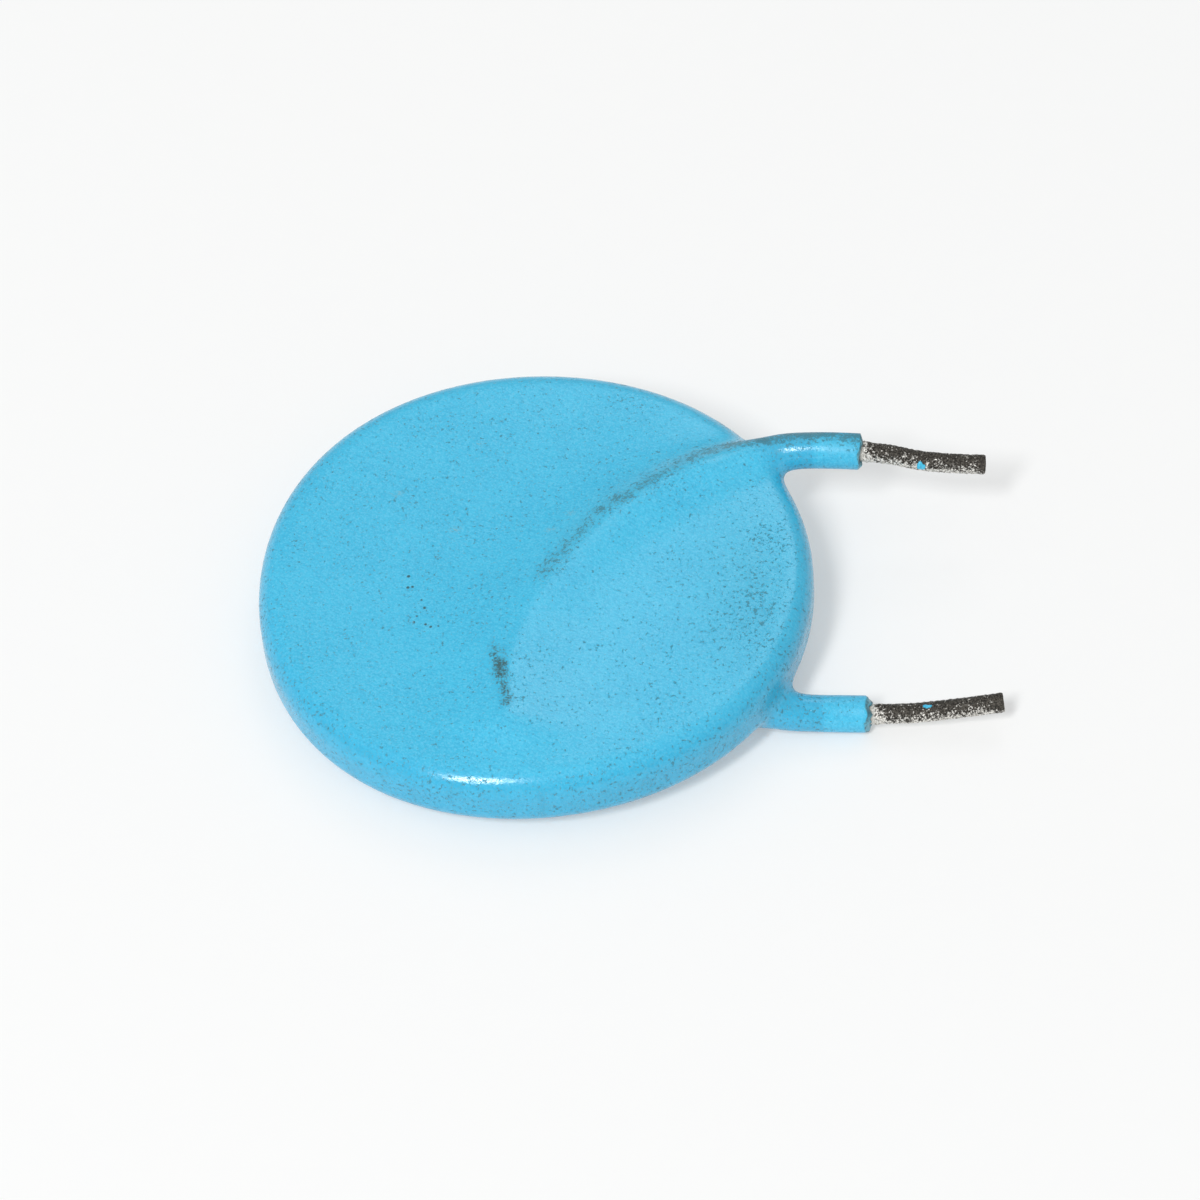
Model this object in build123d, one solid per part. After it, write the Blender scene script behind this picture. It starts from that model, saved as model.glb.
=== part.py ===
from build123d import *
import math
import os

# Disc varistor with two cut leads, dipped in epoxy. Millimetres.
# Body frame: disc axis on Z, centre of the disc at the origin, leads leaving along +X.
# The upper wire crosses the upper face and leaves at +Y. The lower wire takes the same
# route turned over about X: it crosses the lower face and leaves at -Y.
UPPER = 1
LOWER = -1

# Ceramic disc and its silver faces
ceramic_diameter = 20.0
ceramic_thickness = 1.4
electrode_inset = 1.0
electrode_thickness = 0.05

# Epoxy coat
rim_wall = 1.25
face_wall = 0.55
rim_round = 1.2
coat_over_wire = 0.35
coat_past_rim = 1.95
coat_blend = 0.9

# Wires and the solder that holds them to the silver
wire_diameter = 0.8
wire_past_rim = 7.15
lead_pitch = 11.5
solder_under_wire = 0.03
solder_foot_width = 1.6
solder_top_width = 1.0
solder_height = 0.65
solder_past_wire = 0.4
solder_inset = 0.4

# Corners of a wire's route over its silver face, in electrode radii
face_route = [(-0.11, -0.85), (-0.15, -0.43), (0.39, 0.37)]

# The corner where a wire crosses the rim: in from the rim, and out from half the pitch
root_inset = 0.2
root_out = {UPPER: 0.15, LOWER: 0.05}

# Corners of each leg: past the rim, out from half the pitch, and further from the disc
leg_route = {
    UPPER: [(0.0, 0.1, 0.22), (3.2, -0.15, 0.1), (4.7, -0.3, -0.46), (wire_past_rim, -0.35, -0.65)],
    LOWER: [(0.0, -0.1, 0.42), (3.2, -0.05, 0.6), (4.8, -0.1, 0.55), (wire_past_rim + 0.2, -0.25, 0.36)],
}

# Bend radii of a wire, from its inner end to the leg, and in the bare tail
face_radii = [5.0, 9.0]
leg_radii = [3.0, 5.0]
tail_radii = {UPPER: [4.0, 4.0], LOWER: [5.0, 5.0]}

# How the part lies on a flat surface, in degrees: lead ends raised, upper lead's side raised
lean_along = 3.07
lean_across = 1.42

# Sizes that follow from those above
ceramic_radius = ceramic_diameter / 2
electrode_radius = ceramic_radius - electrode_inset
silver_face = ceramic_thickness / 2 + electrode_thickness
coat_radius = ceramic_radius + rim_wall
coat_thickness = 2 * (silver_face + face_wall)
wire_radius = wire_diameter / 2
sleeve_radius = wire_radius + coat_over_wire
wire_height = silver_face + solder_under_wire + wire_radius
half_pitch = lead_pitch / 2


def face_corners(side):
    """Corners of a wire's route over the silver, from its soldered end."""
    corners = []
    for x, y in face_route:
        corners.append(Vector(x * electrode_radius, side * y * electrode_radius, side * wire_height))
    return corners


def root_corner(side):
    """Corner where a wire crosses the rim into its leg."""
    y = half_pitch + root_out[side]
    x = math.sqrt((coat_radius - root_inset) ** 2 - y**2)
    return Vector(x, side * y, side * wire_height)


def leg_corners(side):
    """Corners of a leg, from the rim to the cut tip of the wire."""
    corners = []
    for past_rim, out, away in leg_route[side]:
        corners.append(Vector(coat_radius + past_rim, side * (half_pitch + out), side * (wire_height + away)))
    return corners


def wire_path(side):
    """Centre line of a whole wire: straight runs joined by tangent arcs."""
    corners = face_corners(side) + [root_corner(side)] + leg_corners(side)
    return FilletPolyline(*corners, radius=face_radii + leg_radii + tail_radii[side])


def sleeve_path(side):
    """The stretch of a wire's centre line that the coat covers, up to the coat's cut on the leg."""
    start, end = leg_corners(side)[:2]
    cut = start + (end - start).normalized() * coat_past_rim
    corners = face_corners(side) + [root_corner(side), start, cut]
    return FilletPolyline(*corners, radius=face_radii + leg_radii)


def bead_path(side):
    """Route of the solder: the wire's run over the silver, begun a little behind its end."""
    corners = face_corners(side)
    behind = corners[0] - (corners[1] - corners[0]).normalized() * solder_past_wire
    return FilletPolyline(behind, *corners[1:], root_corner(side), radius=face_radii)


def round_bar(path, radius):
    """Bar of round section along a path."""
    section = Plane(path @ 0, z_dir=path % 0) * Circle(radius)
    return sweep(section, path=path)


def make_solder(side, lead):
    """Low bead of solder on the silver, around the wire."""
    path = bead_path(side)
    tangent = path % 0
    plane = Plane(path @ 0, x_dir=Vector(0, 0, side).cross(tangent), z_dir=tangent)
    foot = -wire_radius - solder_under_wire
    top = foot + solder_height
    outline = Polyline(
        (-solder_foot_width / 2, foot),
        (solder_foot_width / 2, foot),
        (solder_top_width / 2, top),
        (-solder_top_width / 2, top),
        close=True,
    )
    bead = sweep(plane * make_face(outline), path=path)
    on_silver = Cylinder(electrode_radius - solder_inset, 2 * (coat_thickness + wire_diameter))
    return (bead & on_silver) - lead


def make_electrode(side):
    """Thin silver layer on one face of the ceramic."""
    middle = side * (ceramic_thickness + electrode_thickness) / 2
    return Pos(0, 0, middle) * Cylinder(electrode_radius, electrode_thickness)


def make_skin():
    """Solid outline of the coat: rounded disc, a ridge over each wire, a sleeve on each leg."""
    disc = Cylinder(coat_radius, coat_thickness)
    disc = fillet(disc.edges().filter_by(GeomType.CIRCLE), rim_round)
    sleeves = []
    for side in (UPPER, LOWER):
        inner_end = Pos(face_corners(side)[0]) * Sphere(sleeve_radius)
        sleeves.append(round_bar(sleeve_path(side), sleeve_radius) + inner_end)
    skin = disc + sleeves
    return fillet(new_edges(disc, *sleeves, combined=skin), coat_blend)


def make_pieces():
    """All pieces in the body frame, by name."""
    pieces = {"ceramic_disc": Cylinder(ceramic_radius, ceramic_thickness)}
    for side, name in ((UPPER, "upper"), (LOWER, "lower")):
        lead = round_bar(wire_path(side), wire_radius)
        pieces[f"electrode_{name}"] = make_electrode(side)
        pieces[f"solder_{name}"] = make_solder(side, lead)
        pieces[f"lead_{name}"] = lead
    pieces["coating"] = make_skin() - list(pieces.values())
    return pieces


def rest_placement(pieces):
    """Lay the part down as it rests, with the bottom centre of its box on the origin."""
    lean = Rot(lean_across, -lean_along, 0)
    box = Compound([lean * piece for piece in pieces.values()]).bounding_box()
    centre = box.center()
    return Pos(-centre.X, -centre.Y, -box.min.Z) * lean


def main():
    os.makedirs("parts", exist_ok=True)
    pieces = make_pieces()
    placement = rest_placement(pieces)
    for name, piece in pieces.items():
        export_step(placement * piece, f"parts/{name}.step")


main()
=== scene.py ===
import math
import bpy
import numpy as np
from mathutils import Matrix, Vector

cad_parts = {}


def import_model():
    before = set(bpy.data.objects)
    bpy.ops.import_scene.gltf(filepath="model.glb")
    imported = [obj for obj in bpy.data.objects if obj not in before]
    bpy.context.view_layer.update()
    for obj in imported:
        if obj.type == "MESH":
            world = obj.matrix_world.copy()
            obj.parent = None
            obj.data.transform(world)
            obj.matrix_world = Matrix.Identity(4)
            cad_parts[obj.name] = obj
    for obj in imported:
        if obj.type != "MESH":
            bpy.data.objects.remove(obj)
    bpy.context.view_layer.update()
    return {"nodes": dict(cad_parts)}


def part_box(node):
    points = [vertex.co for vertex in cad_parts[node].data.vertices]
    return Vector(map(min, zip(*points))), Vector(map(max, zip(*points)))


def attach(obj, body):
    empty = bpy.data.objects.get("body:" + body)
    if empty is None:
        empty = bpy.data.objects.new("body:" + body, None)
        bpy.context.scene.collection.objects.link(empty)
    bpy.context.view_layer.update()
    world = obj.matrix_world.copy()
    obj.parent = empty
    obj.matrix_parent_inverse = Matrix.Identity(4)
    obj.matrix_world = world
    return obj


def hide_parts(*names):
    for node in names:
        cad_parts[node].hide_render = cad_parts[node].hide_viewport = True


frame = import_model()

# A blue dipped disc varistor lying on its lower side, leads cut short.
# Shapes are worked out in the disc's own frame in millimetres: disc axis on Z, leads along +X.
# The upper wire and its ridge are on the upper face, the lower wire is the same turned over.
MM = 0.001
UPPER = 1
LOWER = -1
SIDES = (UPPER, LOWER)

# Coat, millimetres
COAT_RADIUS = 11.25
COAT_HALF = 1.3
RIM_ROUND = 0.95
OUTLINE_WOBBLE = 0.07
COAT_PAST_RIM = 2.17
END_SLOPE = {UPPER: 0.3, LOWER: 0.95}
SWELL_HEIGHT = 0.17
SWELL_WIDTH = 3.6

# The ridge over a wire, from the middle of the face out to the leg; it fades within this distance of the edge
RIDGE_HEIGHT = (0.29, 0.52)
RIDGE_WIDTH = (1.65, 0.98)
RIDGE_FADE = 2.6

# Uneven face of a dipped coat: ripples, and one shallow dip given by place, half widths and turn in degrees
FACE_RIPPLE = 0.010
FACE_RIPPLE_LENGTH = 7.0
DIP_DEPTH = 0.06
DIP = (6.0, -2.5, 3.6, 2.6, 50)

# The round coat over a wire, from the middle of the face, where the ridge alone hides the wire, out to the leg
OVER_WIRE_RADIUS = (0.1, 0.745)
OVER_WIRE_BLEND = (0.8, 1.25)
OVER_WIRE_FROM = 6.0

# Broken end of the coat on a leg: (height, wavelength) of its chips
CHIPS = ((0.07, 0.9), (0.05, 0.4))
CHIP_SLOPE_REACH = 0.5

# Inside the coat
CERAMIC_RADIUS = 10.0
SILVER_FACE = 0.75
ELECTRODE_RADIUS = 9.0
WIRE_RADIUS = 0.4
WIRE_HEIGHT = 1.18
INNER_PLAY = 0.02

# Corners of the wires' routes, as in the CAD model
HALF_PITCH = 5.75
FACE_ROUTE = [(-0.11, -0.85), (-0.15, -0.43), (0.39, 0.37)]
ROOT_INSET = 0.2
ROOT_OUT = {UPPER: 0.15, LOWER: 0.05}
LEG_ROUTE = {
    UPPER: [(0.0, 0.1, 0.22), (3.2, -0.15, 0.1), (4.7, -0.3, -0.46), (7.15, -0.35, -0.65)],
    LOWER: [(0.0, -0.1, 0.42), (3.2, -0.05, 0.6), (4.8, -0.1, 0.55), (7.35, -0.25, 0.36)],
}


# ---------------------------------------------------------------- frame of the disc

def middle(node):
    """Middle of a CAD node's box."""
    low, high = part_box(node)
    return (low + high) / 2


CENTRE = middle("ceramic_disc")
AXIS = (middle("electrode_upper") - middle("electrode_lower")).normalized()
ACROSS = AXIS.cross(Vector((1, 0, 0))).normalized()
ALONG = ACROSS.cross(AXIS)
TO_WORLD = np.array([ALONG, ACROSS, AXIS])


def world(points):
    """Points of the disc's frame, in millimetres, as points of the scene, in metres."""
    return np.asarray(points) @ TO_WORLD * MM + np.array(CENTRE)


# ---------------------------------------------------------------- routes

def route(side):
    """Corners of a wire's route, from its soldered end to its cut tip."""
    corners = [(x * ELECTRODE_RADIUS, side * y * ELECTRODE_RADIUS, side * WIRE_HEIGHT) for x, y in FACE_ROUTE]
    root_y = HALF_PITCH + ROOT_OUT[side]
    root_x = math.sqrt((COAT_RADIUS - ROOT_INSET) ** 2 - root_y**2)
    corners.append((root_x, side * root_y, side * WIRE_HEIGHT))
    for past_rim, out, away in LEG_ROUTE[side]:
        corners.append((COAT_RADIUS + past_rim, side * (HALF_PITCH + out), side * (WIRE_HEIGHT + away)))
    return np.array(corners)


def smooth_line(corners, steps):
    """Curve that starts and ends on the first and last corner and bends towards the others."""
    middles = (corners[1:-2] + corners[2:-1]) / 2
    starts = np.vstack([corners[:1], middles])
    ends = np.vstack([middles, corners[-1:]])
    t = np.linspace(0, 1, steps, endpoint=False)[:, None]
    runs = [(1 - t) ** 2 * a + 2 * t * (1 - t) * b + t**2 * c for a, b, c in zip(starts, corners[1:-1], ends)]
    return np.vstack(runs + [corners[-1:]])


WIRE_LINE = {side: smooth_line(route(side), 8) for side in SIDES}


def coat_cut(side):
    """Where the coat ends on a leg, and the direction of the leg there."""
    at_rim = len(FACE_ROUTE) + 1
    start, end = route(side)[at_rim : at_rim + 2]
    direction = (end - start) / np.linalg.norm(end - start)
    return start + direction * COAT_PAST_RIM, direction


# ---------------------------------------------------------------- grid and fields on it
# A field is a distance in millimetres, negative inside, at every point of the grid.

FINE = 0.08
COARSE = 0.18
LAYER = 0.12
LEG_BAND = (HALF_PITCH - 1.15, HALF_PITCH + 1.2)
LEG_GRID_FROM = 0.9
GRID_HEIGHTS = (-2.85, 2.65)
MARGIN = 0.45
REACH = 2.9


def grid_line(stops):
    """Grid positions from stops of (position, step up to the next stop)."""
    parts = []
    for (start, step), (end, _) in zip(stops[:-1], stops[1:]):
        parts.append(np.linspace(start, end, max(1, round((end - start) / step)), endpoint=False))
    return np.concatenate(parts + [np.array([stops[-1][0]])])


EDGE = COAT_RADIUS + MARGIN
LEG_END = COAT_RADIUS + COAT_PAST_RIM + MARGIN
INNER, OUTER = LEG_BAND
GRID = [
    grid_line([(-EDGE, COARSE), (COAT_RADIUS + LEG_GRID_FROM, FINE), (LEG_END, FINE)]),
    grid_line([(-EDGE, COARSE), (-OUTER, FINE), (-INNER, COARSE), (INNER, FINE), (OUTER, COARSE), (EDGE, COARSE)]),
    grid_line([(GRID_HEIGHTS[0], LAYER), (GRID_HEIGHTS[1], LAYER)]),
]
X, Y, Z = np.ix_(*GRID)


def line_field(line, radius):
    """Distance to a round bar along a line of points, true up to REACH from the line."""
    field = np.full([len(axis) for axis in GRID], REACH, np.float32)
    for a, b in zip(line[:-1], line[1:]):
        low = np.minimum(a, b) - REACH
        high = np.maximum(a, b) + REACH
        block = tuple(slice(*np.searchsorted(axis, (lo, hi))) for axis, lo, hi in zip(GRID, low, high))
        x, y, z = np.ix_(*(axis[part] for axis, part in zip(GRID, block)))
        run = b - a
        t = ((x - a[0]) * run[0] + (y - a[1]) * run[1] + (z - a[2]) * run[2]) / (run @ run)
        t = np.clip(t, 0, 1)
        gap = (x - a[0] - t * run[0]) ** 2 + (y - a[1] - t * run[1]) ** 2 + (z - a[2] - t * run[2]) ** 2
        field[block] = np.minimum(field[block], np.sqrt(gap))
    return field - radius


def smooth_union(a, b, blend):
    """Union of two fields with a rounded inner corner of about the blend's size."""
    h = np.maximum(blend - np.abs(a - b), 0) / blend
    return np.minimum(a, b) - h**3 * blend / 6


def ripple(x, y, z, wavelength, seed):
    """Smooth random-looking field between about -1 and 1."""
    rng = np.random.default_rng(seed)
    total = 0
    for _ in range(6):
        direction = rng.normal(size=3)
        direction *= 2 * math.pi / wavelength * rng.uniform(0.7, 1.4) / np.linalg.norm(direction)
        total = total + np.sin(x * direction[0] + y * direction[1] + z * direction[2] + rng.uniform(0, 2 * math.pi))
    return total / 3


def band(offset, width):
    """1 at an offset of 0, falling smoothly to nothing past the width."""
    return np.exp(-((offset / width) ** 2))


def hump(x, y, width_along, width_across, turn):
    """Soft round hump of height 1 on a face, turned by an angle in degrees."""
    c, s = math.cos(math.radians(turn)), math.sin(math.radians(turn))
    u = (X - x) * c + (Y - y) * s
    v = (Y - y) * c - (X - x) * s
    return np.exp(-((u / width_along) ** 2) - (v / width_across) ** 2)


def distance_to_line(x, y, line):
    """Distance of places from a line of points, measured along the faces."""
    nearest = np.inf
    for a, b in zip(line[:-1], line[1:]):
        run = (b[0] - a[0], b[1] - a[1])
        t = np.clip(((x - a[0]) * run[0] + (y - a[1]) * run[1]) / (run[0] ** 2 + run[1] ** 2), 0, 1)
        nearest = np.minimum(nearest, np.hypot(x - a[0] - t * run[0], y - a[1] - t * run[1]))
    return nearest


def between(ends, share):
    """Value at a share of the way from the first of two ends to the second."""
    return ends[0] + (ends[1] - ends[0]) * share


def disc_field():
    """Rounded disc with the slightly uneven outline and faces of a dipped coat, thicker along the wires."""
    angle = np.arctan2(Y, X)
    radius = COAT_RADIUS + OUTLINE_WOBBLE * (np.cos(3 * angle) - np.cos(4 * angle))
    relief = FACE_RIPPLE * ripple(X, Y, 0, FACE_RIPPLE_LENGTH, 5) - DIP_DEPTH * hump(*DIP)
    half = COAT_HALF + relief * (Z > 0)
    distance = np.hypot(X, Y)
    for side in SIDES:
        away = distance_to_line(X, Y, WIRE_LINE[side][::3])
        along = np.clip((X + side * Y + 3) / 14, 0, 1)
        ridge = between(RIDGE_HEIGHT, along) * band(away, between(RIDGE_WIDTH, along))
        swell = SWELL_HEIGHT * band(away, SWELL_WIDTH) + ridge
        fade = np.clip((COAT_RADIUS - distance) / RIDGE_FADE, 0, 1)
        half = half + swell * fade * (side * Z > 0)
    beyond_rim = distance - (radius - RIM_ROUND)
    beyond_face = np.abs(Z) - (half - RIM_ROUND)
    outside = np.hypot(np.maximum(beyond_rim, 0), np.maximum(beyond_face, 0))
    return outside + np.minimum(np.maximum(beyond_rim, beyond_face), 0) - RIM_ROUND


def end_cut_field(side):
    """Rough cut across the coat of a leg, broken back from the wire outwards."""
    point, direction = coat_cut(side)
    x, y, z = X - point[0], Y - point[1], Z - point[2]
    along = x * direction[0] + y * direction[1] + z * direction[2]
    from_wire = np.sqrt(np.maximum(x**2 + y**2 + z**2 - along**2, 0)) - WIRE_RADIUS
    chips = sum(height * ripple(X, Y, Z, length, seed + side) for (height, length), seed in zip(CHIPS, (11, 21)))
    return along + END_SLOPE[side] * np.clip(from_wire, 0, CHIP_SLOPE_REACH) + chips


def skin_field():
    """The coat's outer surface."""
    skin = disc_field()
    out = np.clip((np.hypot(X, Y) - OVER_WIRE_FROM) / (COAT_RADIUS - OVER_WIRE_FROM), 0, 1)
    out = out * out * (3 - 2 * out)
    radius = between(OVER_WIRE_RADIUS, out)
    blend = between(OVER_WIRE_BLEND, out)
    for side in SIDES:
        over_wire = line_field(WIRE_LINE[side], 0.0) - radius
        skin = smooth_union(skin, np.maximum(over_wire, end_cut_field(side)), blend)
    return skin


def inside_field():
    """Everything that the coat encloses."""
    inside = np.maximum(np.hypot(X, Y) - CERAMIC_RADIUS, np.abs(Z) - SILVER_FACE)
    for side in SIDES:
        inside = np.minimum(inside, line_field(WIRE_LINE[side], WIRE_RADIUS))
    return inside - INNER_PLAY


# ---------------------------------------------------------------- meshes from fields

def surface(field):
    """Points and outward quads on the zero surface of a field (surface nets)."""
    cells = tuple(n - 1 for n in field.shape)
    offsets = np.zeros(cells + (3,), np.float32)
    crossings = np.zeros(cells, np.float32)
    for axis in range(3):
        for corner in np.ndindex(2, 2, 2):
            if corner[axis]:
                continue
            other = tuple(c + (i == axis) for i, c in enumerate(corner))
            a = field[tuple(slice(c, c + n) for c, n in zip(corner, cells))]
            b = field[tuple(slice(c, c + n) for c, n in zip(other, cells))]
            crossed = (a < 0) != (b < 0)
            t = np.where(crossed, a / np.where(crossed, a - b, 1), 0)
            for d in range(3):
                offsets[..., d] += crossed * (corner[d] + (t if d == axis else 0))
            crossings += crossed
    active = crossings > 0
    number = np.full(cells, -1)
    number[active] = np.arange(active.sum())
    index = np.argwhere(active) + offsets[active] / crossings[active][:, None]
    quads = []
    step = np.eye(3, dtype=int)
    for axis in range(3):
        a = field[: cells[0], : cells[1], : cells[2]]
        b = field[tuple(slice(step[axis][d], step[axis][d] + cells[d]) for d in range(3))]
        crossed = (a < 0) != (b < 0)
        u, v = (axis + 1) % 3, (axis + 2) % 3
        np.moveaxis(crossed, u, 0)[0] = False
        np.moveaxis(crossed, v, 0)[0] = False
        at = np.argwhere(crossed)
        ring = [at, at - step[u], at - step[u] - step[v], at - step[v]]
        quad = np.stack([number[r[:, 0], r[:, 1], r[:, 2]] for r in ring], axis=1)
        inward = a[crossed] >= 0
        quad[inward] = quad[inward][:, ::-1]
        quads.append(quad)
    points = np.column_stack([np.interp(index[:, d], np.arange(len(GRID[d])), GRID[d]) for d in range(3)])
    return points, np.vstack(quads), index


def sample(field, index):
    """Value of a field between grid points, at fractional indices."""
    base = np.minimum(index.astype(int), np.array(field.shape) - 2)
    part = index - base
    total = 0
    for corner in np.ndindex(2, 2, 2):
        weight = np.prod(np.where(corner, part, 1 - part), axis=1)
        at = base + np.array(corner)
        total = total + weight * field[at[:, 0], at[:, 1], at[:, 2]]
    return total


def directions(field, index):
    """Outward unit direction of a field's surface at fractional indices."""
    slopes = np.gradient(field, *GRID)
    found = np.column_stack([sample(part, index) for part in slopes])
    return found / np.maximum(np.linalg.norm(found, axis=1), 1e-6)[:, None]


def new_piece(name, points, faces, outward=None):
    """Mesh object of points in the disc's frame, smooth shaded, riding on the part."""
    mesh = bpy.data.meshes.new(name)
    mesh.from_pydata(world(points).tolist(), [], [list(face) for face in faces])
    mesh.polygons.foreach_set("use_smooth", np.ones(len(mesh.polygons), bool))
    mesh.update()
    if outward is not None:
        mesh.normals_split_custom_set_from_vertices((outward @ TO_WORLD).tolist())
    piece = bpy.data.objects.new(name, mesh)
    bpy.context.scene.collection.objects.link(piece)
    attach(piece, "root")
    return piece


def add_mask(piece, name, values):
    """Store a number at each vertex for the piece's material to read."""
    layer = piece.data.attributes.new(name, "FLOAT", "POINT")
    layer.data.foreach_set("value", np.asarray(values, np.float32))


# ---------------------------------------------------------------- coat

# Marks on the upper face that the coat's material reads, as points of the disc's frame in millimetres
CREST_LINE = [
    (0.6, -0.4), (1.74, 1.29), (2.93, 2.85), (4.31, 3.75), (5.17, 4.39), (6.29, 5.2),
    (7.52, 5.83), (8.6, 5.98), (10.13, 6.11), (11.76, 6.12), (13.2, 5.8),
]
CREST_WIDTH = 0.48
SMUDGE_LINE = [(-1.4, -4.5), (-1.36, -5.13), (-1.16, -6.02), (-1.0, -7.1)]
SMUDGE_WIDTH = (0.60, 0.30)
PIT_LINE = [
    (-5.14, -0.02), (-4.72, -1.27), (-4.52, -1.9), (-4.51, -2.5), (-4.05, -2.8), (-3.85, -3.2), (-4.06, -3.6),
]
PIT_WIDTH = 0.3
# Place and half widths of each pale scuff, and of the dirty area on the right
SCUFFS = [
    (-5.5, 4.48, 0.42, 0.2), (-2.17, 7.02, 0.3, 0.15), (1.52, 2.81, 0.3, 0.2),
    (-3.13, 2.38, 0.4, 0.2), (0.71, 2.0, 0.35, 0.2),
]
GRIME = (8.9, -1.6, 2.3, 4.6)
RIM_FROM = 10.4
END_WIDTH = 0.07


def spot(x, y, place):
    """Soft spot of height 1, from its middle and its half widths."""
    middle_x, middle_y, half_x, half_y = place
    return np.exp(-(((x - middle_x) / half_x) ** 2) - ((y - middle_y) / half_y) ** 2)


def make_coat():
    """The whole coat as one mesh, with its outer skin, its inner hollow and the masks of its marks."""
    field = np.maximum(skin_field(), -inside_field())
    points, faces, index = surface(field)
    piece = new_piece("coat", points, faces, directions(field, index))
    x, y = points[:, 0], points[:, 1]
    upper = np.clip(points[:, 2] / 0.4, 0, 1)
    stronger_outwards = np.clip(0.75 + (x - 6) / 10, 0.75, 1.25)
    add_mask(piece, "crest", band(distance_to_line(x, y, CREST_LINE), CREST_WIDTH) * upper * stronger_outwards)
    smudge_width = between(SMUDGE_WIDTH, np.clip((-4.6 - y) / 2.2, 0, 1))
    add_mask(piece, "smudge", band(distance_to_line(x, y, SMUDGE_LINE), smudge_width) * upper)
    add_mask(piece, "pits", band(distance_to_line(x, y, PIT_LINE), PIT_WIDTH) * upper)
    add_mask(piece, "scuffs", sum(spot(x, y, place) for place in SCUFFS) * upper)
    add_mask(piece, "grime", spot(x, y, GRIME) * upper)
    # The rim mask carries dirt on the rim and painted shade on the rim
    add_mask(piece, "rim", np.clip((np.hypot(x, y) - RIM_FROM) / 0.7, 0, 1) * (x < COAT_RADIUS + 0.2))
    add_mask(piece, "leg", np.clip((x - COAT_RADIUS - 0.2) / 0.6, 0, 1))
    ends = np.zeros(len(points))
    for side in SIDES:
        on_leg = (side * y > 0) & (x > COAT_RADIUS + 1)
        ends = np.maximum(ends, on_leg * band(sample(end_cut_field(side), index), END_WIDTH))
    add_mask(piece, "end", ends)
    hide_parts("coating")
    return piece


# ---------------------------------------------------------------- wires

RINGS_HIDDEN = 90
RINGS_BARE = 190
AROUND = 56
BARE_FROM = 0.25
WIRE_SHRINK = 0.004

# Rough surface of the bare wire: (height, wavelength, seed) of each ripple, and the limits of their sum
GRAIN = ((0.010, 0.22, 31), (0.007, 0.13, 41), (0.006, 0.7, 51))
GRAIN_LIMITS = (-0.025, 0.028)

# Collar of epoxy left just past the coat, and the rounded edge of the cut tip
COLLAR_HEIGHT = 0.05
COLLAR_PLACE = 0.12
COLLAR_WIDTH = 0.22
TIP_ROUND = 0.03
CAP_SHARES = (0.66, 0.33)
CAP_RELIEF = 0.02


def resample(line, count):
    """Points evenly spread along a line."""
    lengths = np.r_[0, np.cumsum(np.linalg.norm(np.diff(line, axis=0), axis=1))]
    at = np.linspace(0, lengths[-1], count)
    return np.column_stack([np.interp(at, lengths, line[:, d]) for d in range(3)])


def directions_along(line):
    """Unit vectors at each point of a line: along it, sideways and up."""
    run = np.gradient(line, axis=0)
    run /= np.linalg.norm(run, axis=1)[:, None]
    sideways = np.cross(run, [0, 0, 1.0])
    sideways /= np.linalg.norm(sideways, axis=1)[:, None]
    return run, sideways, np.cross(sideways, run)


def sign_past_cut(line, side):
    """1 for the points of a line past the end of the coat, -1 for those inside it."""
    point, direction = coat_cut(side)
    return np.where((line - point) @ direction >= 0, 1.0, -1.0)


def wire_radii(line, outward, past_cut, side):
    """Radius of the wire at each ring and each angle: smooth inside the coat, rough outside it."""
    ring = np.arange(len(line))[:, None]
    bare = np.clip((ring - RINGS_HIDDEN) / 8, 0, 1)
    x, y, z = np.moveaxis(line[:, None] + outward * WIRE_RADIUS, 2, 0)
    grain = sum(height * ripple(x, y, z, length, seed + side) for height, length, seed in GRAIN)
    radius = WIRE_RADIUS - WIRE_SHRINK + bare * np.clip(grain, *GRAIN_LIMITS)
    patches = np.clip(0.4 + 0.8 * ripple(x, y, z, 0.45, 61 + side), 0, 1)
    radius = radius + COLLAR_HEIGHT * band(past_cut - COLLAR_PLACE, COLLAR_WIDTH) * patches
    tip = np.clip((ring - len(line) + 4) / 3, 0, 1)
    return radius - TIP_ROUND * tip**2


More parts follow.
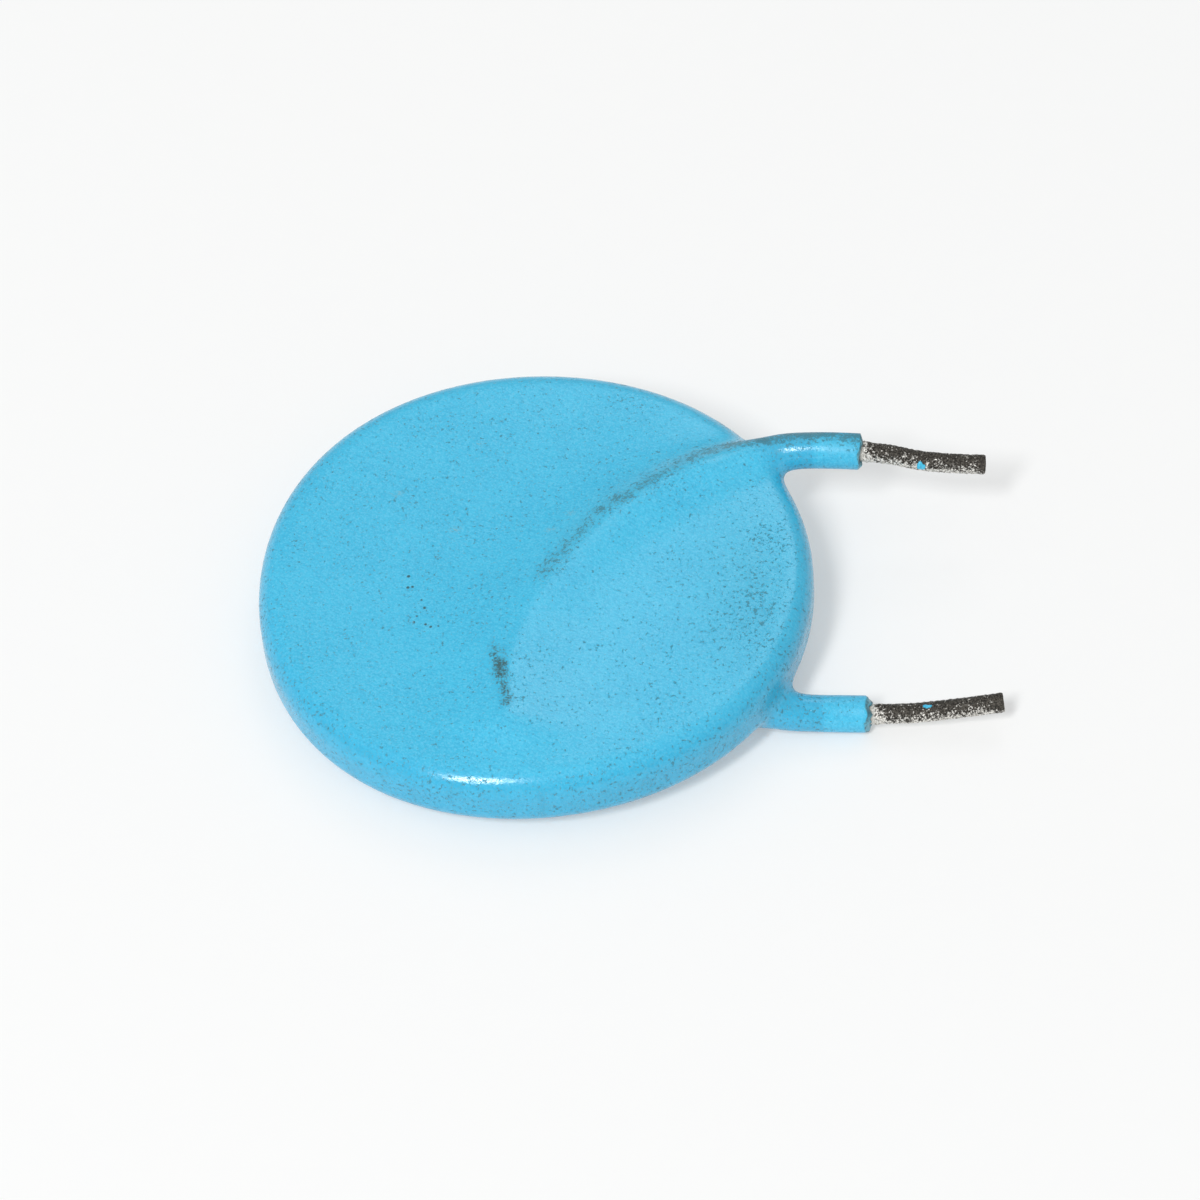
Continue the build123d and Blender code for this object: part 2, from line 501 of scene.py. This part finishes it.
def make_lead(side, name):
    """Round wire with a smooth hidden run and a rough, tarnished bare end with a flat cut tip."""
    line = smooth_line(route(side), 24)
    cut = np.searchsorted(line[:, 0], coat_cut(side)[0][0] - BARE_FROM)
    line = np.vstack([resample(line[: cut + 1], RINGS_HIDDEN)[:-1], resample(line[cut:], RINGS_BARE)])
    run, sideways, up = directions_along(line)
    angle = np.linspace(0, 2 * math.pi, AROUND, endpoint=False)
    outward = sideways[:, None] * np.cos(angle)[None, :, None] + up[:, None] * np.sin(angle)[None, :, None]
    past_cut = np.linalg.norm(line - coat_cut(side)[0], axis=1)[:, None]
    rings = line[:, None] + outward * wire_radii(line, outward, past_cut, side)[..., None]
    points = [rings.reshape(-1, 3)]
    count = len(line)
    first = np.arange(count - 1)[:, None] * AROUND + np.arange(AROUND)
    following = np.arange(count - 1)[:, None] * AROUND + (np.arange(AROUND) + 1) % AROUND
    faces = np.stack([first, following, following + AROUND, first + AROUND], axis=2).reshape(-1, 4).tolist()
    total = count * AROUND
    for end, flip in ((0, True), (count - 1, False)):
        edge = end * AROUND + np.arange(AROUND)
        for share in CAP_SHARES:
            ring = line[end] + (rings[end] - line[end]) * share
            ring = ring + run[end] * CAP_RELIEF * ripple(ring[:, 0], ring[:, 1], ring[:, 2], 0.4, 71)[:, None]
            points.append(ring)
            new = total + np.arange(AROUND)
            quads = np.stack([edge, np.roll(edge, -1), np.roll(new, -1), new], axis=1)
            faces += (quads[:, ::-1] if flip else quads).tolist()
            edge = new
            total += AROUND
        points.append(line[end][None])
        fan = np.stack([edge, np.roll(edge, -1), np.full(AROUND, total)], axis=1)
        faces += (fan[:, ::-1] if flip else fan).tolist()
        total += 1
    piece = new_piece(name, np.vstack(points), faces)
    on_caps = np.zeros(total - count * AROUND)
    along = np.repeat(past_cut[:, 0] * sign_past_cut(line, side), AROUND)
    add_mask(piece, "past_coat", np.r_[along, on_caps])
    add_mask(piece, "top", np.r_[np.tile(np.sin(angle), count), on_caps])
    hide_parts({UPPER: "lead_upper", LOWER: "lead_lower"}[side])
    return piece


# A flake's rings, from the middle of its top to the middle of its underside: share of the outline and height
FLAKE_RINGS = [
    (0.0001, 0.050), (0.35, 0.052), (0.7, 0.047), (0.92, 0.036),
    (1.0, 0.008), (0.9, -0.03), (0.5, -0.03), (0.0001, -0.03),
]
FLAKE_AROUND = 28


def make_flake(name, side, past_rim, turn, size, seed):
    """Chip of coat left on a bare wire, at a place past the rim and an angle in degrees round the wire."""
    line = smooth_line(route(side), 24)
    at = np.searchsorted(line[:, 0], COAT_RADIUS + past_rim)
    run, sideways, up = (unit[0] for unit in directions_along(line[at : at + 2]))
    rng = np.random.default_rng(seed)
    around = np.linspace(0, 2 * math.pi, FLAKE_AROUND, endpoint=False)
    outline = 1 + 0.22 * np.cos(2 * around + 0.6) + 0.16 * np.cos(3 * around + rng.uniform(0, 6))
    outline = outline + 0.07 * rng.uniform(-1, 1, FLAKE_AROUND)
    points, faces = [], []
    for share, height in FLAKE_RINGS:
        reach = (size[0] * share * outline * np.cos(around))[:, None]
        angle = math.radians(turn) + size[1] * share * outline * np.sin(around) / WIRE_RADIUS
        outward = sideways * np.cos(angle)[:, None] + up * np.sin(angle)[:, None]
        rough = 0.008 * rng.uniform(-1, 1, FLAKE_AROUND) * (height > 0.02)
        points.append(line[at] + run * reach + outward * (WIRE_RADIUS + height + rough)[:, None])
    step = np.arange(FLAKE_AROUND)
    for ring in range(len(FLAKE_RINGS) - 1):
        a = ring * FLAKE_AROUND + step
        b = ring * FLAKE_AROUND + (step + 1) % FLAKE_AROUND
        faces += np.stack([a, a + FLAKE_AROUND, b + FLAKE_AROUND, b], axis=1).tolist()
    faces.append(step.tolist())
    faces.append((step + (len(FLAKE_RINGS) - 1) * FLAKE_AROUND).tolist()[::-1])
    piece = new_piece(name, np.vstack(points), faces)
    return piece


# ---------------------------------------------------------------- materials

class Tree:
    """Builds a node tree.

    t(kind, {socket: value or output}, setting=value) adds one node and gives its first output.
    """

    def __init__(self, data):
        data.use_nodes = True
        self.tree = data.node_tree
        self.tree.nodes.clear()

    def node(self, kind, inputs=None, **settings):
        made = self.tree.nodes.new(kind)
        for key, value in settings.items():
            setattr(made, key, value)
        for key, value in (inputs or {}).items():
            if isinstance(value, bpy.types.NodeSocket):
                self.tree.links.new(value, made.inputs[key])
            else:
                made.inputs[key].default_value = value
        return made

    def __call__(self, kind, inputs=None, **settings):
        return self.node(kind, inputs, **settings).outputs[0]

    def math(self, operation, a, b=0.0):
        return self("ShaderNodeMath", {0: a, 1: b}, operation=operation)

    def ramp(self, value, low, high):
        """0 below low and 1 above high, smooth between."""
        inputs = {"Value": value, "From Min": low, "From Max": high}
        return self("ShaderNodeMapRange", inputs, interpolation_type="SMOOTHSTEP")

    def mask(self, name):
        return self.node("ShaderNodeAttribute", attribute_name=name).outputs["Fac"]

    def millimetres(self, scale=(1, 1, 1), turn=(0, 0, 0)):
        """The piece's own coordinates in millimetres, turned and scaled."""
        place = self.node("ShaderNodeTexCoord").outputs["Object"]
        turned = self("ShaderNodeMapping", {"Vector": place, "Rotation": [math.radians(v) for v in turn]})
        return self("ShaderNodeVectorMath", {0: turned, 1: [v / MM for v in scale]}, operation="MULTIPLY")

    def noise(self, place, scale, detail=2.0, roughness=0.5):
        inputs = {"Vector": place, "Scale": scale, "Detail": detail, "Roughness": roughness}
        return self("ShaderNodeTexNoise", inputs)

    def held(self, mask, texture, middle, contrast, low, high):
        """A mask broken up by a texture, as 0 to 1 between low and high."""
        broken = self.math("MULTIPLY", self.math("SUBTRACT", texture, middle), contrast)
        total = self.math("ADD", mask, self.math("MULTIPLY", broken, self.ramp(mask, 0.02, 0.3)))
        return self.ramp(total, low, high)

    def mix(self, share, a, b):
        """Colour between a and b."""
        made = self.node("ShaderNodeMix", data_type="RGBA")
        for socket, value in ((0, share), (6, a), (7, b)):
            if isinstance(value, bpy.types.NodeSocket):
                self.tree.links.new(value, made.inputs[socket])
            else:
                made.inputs[socket].default_value = value if socket == 0 else (*value, 1)
        return made.outputs[2]

    def bump(self, height, distance, strength):
        """Normal of a surface roughened by a height, over a distance in millimetres."""
        return self("ShaderNodeBump", {"Height": height, "Distance": distance * MM, "Strength": strength})

    def surface(self, inputs):
        shader = self("ShaderNodeBsdfPrincipled", inputs)
        self.node("ShaderNodeOutputMaterial", {"Surface": shader})


BLUE = (0.055, 0.530, 0.795)
DULL_BLUE = (0.048, 0.505, 0.772)
DEEP_BLUE = (0.028, 0.37, 0.62)
PALE_BLUE = (0.125, 0.60, 0.85)
DIRT = (0.035, 0.13, 0.15)
SMUDGE = (0.03, 0.085, 0.085)
SCUFF = (0.22, 0.47, 0.55)
BROKEN_DARK = (0.045, 0.11, 0.12)
BROKEN_PALE = (0.12, 0.40, 0.50)
# Dark tarnish, which also carries the painted shade on top of the bare wire
TARNISH_AND_TOP_SHADE = ((0.020, 0.018, 0.015), (0.105, 0.095, 0.080))
TIN = ((0.34, 0.32, 0.28), (0.92, 0.90, 0.85))
HIDDEN_TIN = (0.62, 0.60, 0.55)
PAPER = ((0.895, 0.90, 0.90), (0.91, 0.915, 0.91))


def epoxy_material():
    """Glossy blue epoxy with grain, dirt, handling marks and painted shade on the rim."""
    material = bpy.data.materials.new("dipped_epoxy")
    t = Tree(material)
    place = t.millimetres()
    dashes = t.millimetres(scale=(1.0, 2.6, 1.0), turn=(0, 0, 32))
    cloud = t.noise(place, 0.35, 3.0)
    patch = t.noise(place, 1.6, 3.0, 0.6)
    grain = t.noise(dashes, 4.2, 3.0, 0.7)
    fine = t.noise(place, 11.0, 2.0, 0.6)
    speck = t.noise(place, 6.8, 3.0, 0.7)

    colour = t.mix(t.ramp(cloud, 0.35, 0.7), BLUE, DULL_BLUE)
    colour = t.mix(t.math("MULTIPLY", t.ramp(grain, 0.40, 0.68), 0.5), colour, DEEP_BLUE)
    colour = t.mix(t.math("MULTIPLY", t.ramp(fine, 0.45, 0.66), 0.55), colour, PALE_BLUE)
    # Painted shade: the rim is darkened towards deep blue
    colour = t.mix(t.math("MULTIPLY", t.mask("rim"), 0.42), colour, DEEP_BLUE)

    # Dirt held by the texture: along the crest, on the right of the face, on the rim and in the smudge
    held = t.math("ADD", t.math("MULTIPLY", patch, 0.5), t.math("MULTIPLY", fine, 0.5))
    crest = t.held(t.mask("crest"), held, 0.53, 5.0, 0.45, 1.1)
    grime = t.math("MULTIPLY", t.held(t.mask("grime"), held, 0.55, 3.6, 0.5, 1.4), 0.25)
    rim = t.math("MULTIPLY", t.held(t.mask("rim"), held, 0.60, 3.6, 0.5, 1.4), 0.24)
    crowd = t.math("ADD", t.math("MULTIPLY", t.mask("grime"), 0.060), t.math("MULTIPLY", t.mask("crest"), 0.13))
    crowd = t.math("MAXIMUM", crowd, t.math("MULTIPLY", t.mask("rim"), 0.035))
    crowd = t.math("ADD", crowd, t.math("MULTIPLY", t.math("SUBTRACT", cloud, 0.5), 0.12))
    specks = t.math("MULTIPLY", t.ramp(t.math("ADD", speck, crowd), 0.605, 0.685), 0.66)
    soft = t.math("ADD", t.math("MULTIPLY", t.mask("grime"), 0.10), t.math("MULTIPLY", t.mask("crest"), 0.13))
    dirty = t.math("MAXIMUM", t.math("MULTIPLY", crest, 0.72), t.math("MAXIMUM", grime, rim))
    dirty = t.math("MAXIMUM", dirty, specks)
    colour = t.mix(t.math("MAXIMUM", dirty, soft), colour, DIRT)

    # Single marks: the smudge, the row of pits, the pale scuffs and the broken ends of the coat
    smudge = t.math("MULTIPLY", t.held(t.mask("smudge"), held, 0.52, 4.5, 0.40, 1.25), 0.92)
    colour = t.mix(smudge, colour, SMUDGE)
    dots = t("ShaderNodeTexVoronoi", {"Vector": place, "Scale": 3.4, "Randomness": 1.0})
    near_dot = t.math("SUBTRACT", 1.0, t.ramp(dots, 0.16, 0.30))
    pits = t.math("MULTIPLY", t.ramp(t.mask("pits"), 0.25, 0.6), near_dot)
    colour = t.mix(t.math("MULTIPLY", pits, 0.9), colour, SMUDGE)
    scuffs = t.math("MULTIPLY", t.ramp(t.mask("scuffs"), 0.3, 0.9), t.ramp(grain, 0.42, 0.62))
    colour = t.mix(t.math("MULTIPLY", scuffs, 0.6), colour, SCUFF)
    broken = t.mix(t.ramp(t.noise(place, 3.0, 3.0, 0.6), 0.42, 0.58), BROKEN_DARK, BROKEN_PALE)
    colour = t.mix(t.math("MULTIPLY", t.ramp(t.mask("end"), 0.4, 0.9), 0.85), colour, broken)

    # Fine relief, and a gloss that the dirt and the legs lose
    height = t.math("ADD", t.math("MULTIPLY", grain, 0.7), t.math("MULTIPLY", fine, 0.4))
    height = t.math("SUBTRACT", height, t.math("MULTIPLY", t.math("MAXIMUM", pits, specks), 1.5))
    normal = t.bump(height, 0.018, 0.6)
    roughness = t.math("ADD", t.math("MULTIPLY", patch, 0.10), 0.13)
    dull = t.math("MAXIMUM", t.math("MAXIMUM", dirty, smudge), t.math("MULTIPLY", t.mask("crest"), 0.6))
    roughness = t.math("ADD", roughness, t.math("MULTIPLY", dull, 0.35))
    roughness = t.math("ADD", roughness, t.math("MULTIPLY", t.mask("leg"), 0.2))
    t.surface({"Base Color": colour, "Roughness": roughness, "Normal": normal, "IOR": 1.55})
    return material


def wire_material():
    """Tin with bright worn facets and dark tarnish, darker at the tip, with painted light: brighter low on the wire
    and darker on top.
    """
    material = bpy.data.materials.new("tarnished_tin_and_painted_light")
    t = Tree(material)
    place = t.millimetres()
    facets = t.noise(place, 6.0, 3.0, 0.7)
    fine = t.noise(place, 15.0, 2.0, 0.6)
    bare = t.ramp(t.mask("past_coat"), -0.1, 0.1)
    residue = t.math("SUBTRACT", 1.0, t.ramp(t.mask("past_coat"), 0.05, 0.6))
    # Painted light: the underside of the bare wire is painted brighter and its top darker
    painted_underside_light = t.math("SUBTRACT", 0.0, t.mask("top"))
    bright = t.math("ADD", t.math("MULTIPLY", facets, 1.4), t.math("MULTIPLY", fine, 0.9))
    bright = t.math("ADD", bright, t.math("MULTIPLY", painted_underside_light, 0.29))
    bright = t.math("SUBTRACT", bright, t.math("MULTIPLY", t.ramp(t.mask("past_coat"), 4.6, 5.0), 0.22))
    bright = t.math("ADD", bright, t.math("MULTIPLY", residue, 0.22))
    bright = t.ramp(bright, 1.00, 1.27)
    dark = t.mix(t.ramp(fine, 0.35, 0.65), *TARNISH_AND_TOP_SHADE)
    tin = t.mix(t.ramp(fine, 0.35, 0.65), *TIN)
    colour = t.mix(bare, HIDDEN_TIN, t.mix(bright, dark, tin))
    height = t.math("ADD", facets, t.math("MULTIPLY", fine, 0.6))
    normal = t.bump(height, 0.06, 0.8)
    roughness = t.math("SUBTRACT", 0.6, t.math("MULTIPLY", bright, 0.22))
    metallic = t.math("SUBTRACT", 0.6, t.math("MULTIPLY", bright, 0.3))
    t.surface({"Base Color": colour, "Roughness": roughness, "Metallic": metallic, "Normal": normal})
    return material


def hidden_material(name, low, high, scale, roughness, metallic):
    """Material of a part that the coat hides: two tones in a grain of its own scale."""
    material = bpy.data.materials.new(name)
    t = Tree(material)
    place = t.millimetres()
    grain = t.noise(place, scale, 4.0, 0.6)
    colour = t.mix(t.ramp(grain, 0.35, 0.65), low, high)
    normal = t.bump(grain, 0.02, 0.6)
    rough = t.math("ADD", t.math("MULTIPLY", grain, 0.2), roughness - 0.1)
    t.surface({"Base Color": colour, "Roughness": rough, "Metallic": metallic, "Normal": normal})
    return material


def floor_material():
    """White paper that looks a little whiter to the viewer than it lights the part."""
    material = bpy.data.materials.new("white_paper")
    t = Tree(material)
    place = t.millimetres()
    fibre = t.noise(place, 0.8, 4.0, 0.6)
    paper = t("ShaderNodeBsdfPrincipled", {
        "Base Color": t.mix(fibre, *PAPER),
        "Roughness": 0.9,
        "Specular IOR Level": 0.0,
        "Emission Color": (1, 1, 1, 1),
        "Emission Strength": 0.03,
    })
    ray = t.node("ShaderNodeLightPath").outputs
    mirrored = t.math("MAXIMUM", ray["Is Glossy Ray"], ray["Is Transmission Ray"])
    seen = t.math("MAXIMUM", ray["Is Camera Ray"], mirrored)
    white = t("ShaderNodeEmission", {"Color": (0.975, 0.98, 0.975, 1), "Strength": 1.0})
    both = t("ShaderNodeMixShader", {0: t.math("MULTIPLY", seen, FLOOR_LIFT), 1: paper, 2: white})
    t.node("ShaderNodeOutputMaterial", {"Surface": both})
    return material


def dress(piece, material):
    piece.data.materials.append(material)


def dress_node(name, material):
    """Give a CAD node a material, its shape untouched."""
    for place in frame["nodes"][name].material_slots:
        place.material = material


# ---------------------------------------------------------------- studio

# Directions from the part to the lamps, distances and sizes in metres
KEY_DIRECTION = Vector((-0.31, -0.57, 0.77)).normalized()
KEY_DISTANCE = 0.80
KEY_SIZE = (0.11, 0.27)
KEY_LEVEL = 0.46
PANEL_DIRECTION = Vector((0.165, 0.662, 0.731)).normalized()
PANEL_DISTANCE = 0.80
PANEL_SIZE = (0.36, 0.32)
PANEL_RADIANCE = 1.3


def lamp(name, direction, distance, size, power):
    """Rectangular lamp that looks at the disc from a direction."""
    data = bpy.data.lights.new(name, "AREA")
    data.shape = "RECTANGLE"
    data.size, data.size_y = size
    data.energy = power
    holder = bpy.data.objects.new(name, data)
    holder.location = CENTRE + direction * distance
    holder.rotation_euler = direction.to_track_quat("Z", "Y").to_euler()
    bpy.context.scene.collection.objects.link(holder)


def make_lights():
    # An area lamp of power P gives P / (pi * d^2) on a surface that faces it from d, and a white surface under
    # pi renders as 1. KEY_LEVEL is what the key gives the floor, PANEL_RADIANCE the brightness of the panel itself.
    key_power = KEY_LEVEL * math.pi**2 * KEY_DISTANCE**2 / KEY_DIRECTION.z
    lamp("key", KEY_DIRECTION, KEY_DISTANCE, KEY_SIZE, key_power)
    panel_power = PANEL_RADIANCE * math.pi * PANEL_SIZE[0] * PANEL_SIZE[1]
    lamp("panel", PANEL_DIRECTION, PANEL_DISTANCE, PANEL_SIZE, panel_power)


# Brightness of the room by the height of the direction: white at the horizon, dim at the sides, bright overhead
WORLD_STOPS = [(0.0, 1.0), (0.08, 0.85), (0.2, 0.42), (0.5, 0.45), (0.65, 0.42), (0.85, 0.54), (1.0, 0.72)]


def make_world():
    world_data = bpy.data.worlds.new("studio")
    bpy.context.scene.world = world_data
    t = Tree(world_data)
    way = t.node("ShaderNodeTexCoord").outputs["Generated"]
    height = t.node("ShaderNodeSeparateXYZ", {0: way}).outputs["Z"]
    ramp = t.node("ShaderNodeValToRGB", {"Fac": height})
    stops = ramp.color_ramp.elements
    while len(stops) < len(WORLD_STOPS):
        stops.new(0.5)
    for stop, (at, level) in zip(stops, WORLD_STOPS):
        stop.position = at
        stop.color = (level, level, level, 1)
    sky = t("ShaderNodeBackground", {"Color": ramp.outputs["Color"], "Strength": 1.0})
    t.node("ShaderNodeOutputWorld", {"Surface": sky})


# Half the floor's side in metres, and the share of plain white that a viewer and a reflection see in the floor
FLOOR_HALF = 1.5
FLOOR_LIFT = 0.32


def make_floor():
    mesh = bpy.data.meshes.new("floor")
    corners = [(x * FLOOR_HALF, y * FLOOR_HALF, 0) for x, y in ((-1, -1), (1, -1), (1, 1), (-1, 1))]
    mesh.from_pydata(corners, [], [(0, 1, 2, 3)])
    floor = bpy.data.objects.new("floor", mesh)
    bpy.context.scene.collection.objects.link(floor)
    dress(floor, floor_material())


CAMERA_ELEVATION = 47.642
CAMERA_AZIMUTH = 0.503
CAMERA_DISTANCE = 0.260
CAMERA_LENS = 193.64
CAMERA_AIM = Vector((2.629, -0.262, -0.210)) * MM


def make_camera():
    data = bpy.data.cameras.new("camera")
    data.lens = CAMERA_LENS
    data.sensor_width = 36.0
    data.clip_start = 0.01
    data.clip_end = 10.0
    camera = bpy.data.objects.new("camera", data)
    azimuth, elevation = math.radians(CAMERA_AZIMUTH), math.radians(CAMERA_ELEVATION)
    level = math.cos(elevation)
    back = Vector((-math.sin(azimuth) * level, -math.cos(azimuth) * level, math.sin(elevation)))
    camera.location = CENTRE + CAMERA_AIM + back * CAMERA_DISTANCE
    camera.rotation_euler = back.to_track_quat("Z", "Y").to_euler()
    bpy.context.scene.collection.objects.link(camera)
    bpy.context.scene.camera = camera


# ---------------------------------------------------------------- scene

epoxy = epoxy_material()
wire = wire_material()
silver = hidden_material("fired_silver", (0.70, 0.68, 0.64), (0.80, 0.79, 0.76), 3.0, 0.45, 0.9)
solder = hidden_material("soft_solder", (0.46, 0.46, 0.47), (0.60, 0.60, 0.61), 1.5, 0.35, 0.9)
ceramic = hidden_material("zinc_oxide", (0.035, 0.045, 0.038), (0.075, 0.085, 0.072), 6.0, 0.75, 0.0)

dress(make_coat(), epoxy)
dress(make_lead(UPPER, "wire_upper"), wire)
dress(make_lead(LOWER, "wire_lower"), wire)
dress(make_flake("flake_upper", UPPER, 4.50, 14, (0.15, 0.21), 3), epoxy)
dress(make_flake("flake_lower", LOWER, 4.3, 82, (0.15, 0.085), 4), epoxy)
dress_node("ceramic_disc", ceramic)
for end in ("upper", "lower"):
    dress_node("electrode_" + end, silver)
    dress_node("solder_" + end, solder)

make_floor()
make_lights()
make_world()
make_camera()
bpy.context.scene.view_settings.view_transform = "Standard"
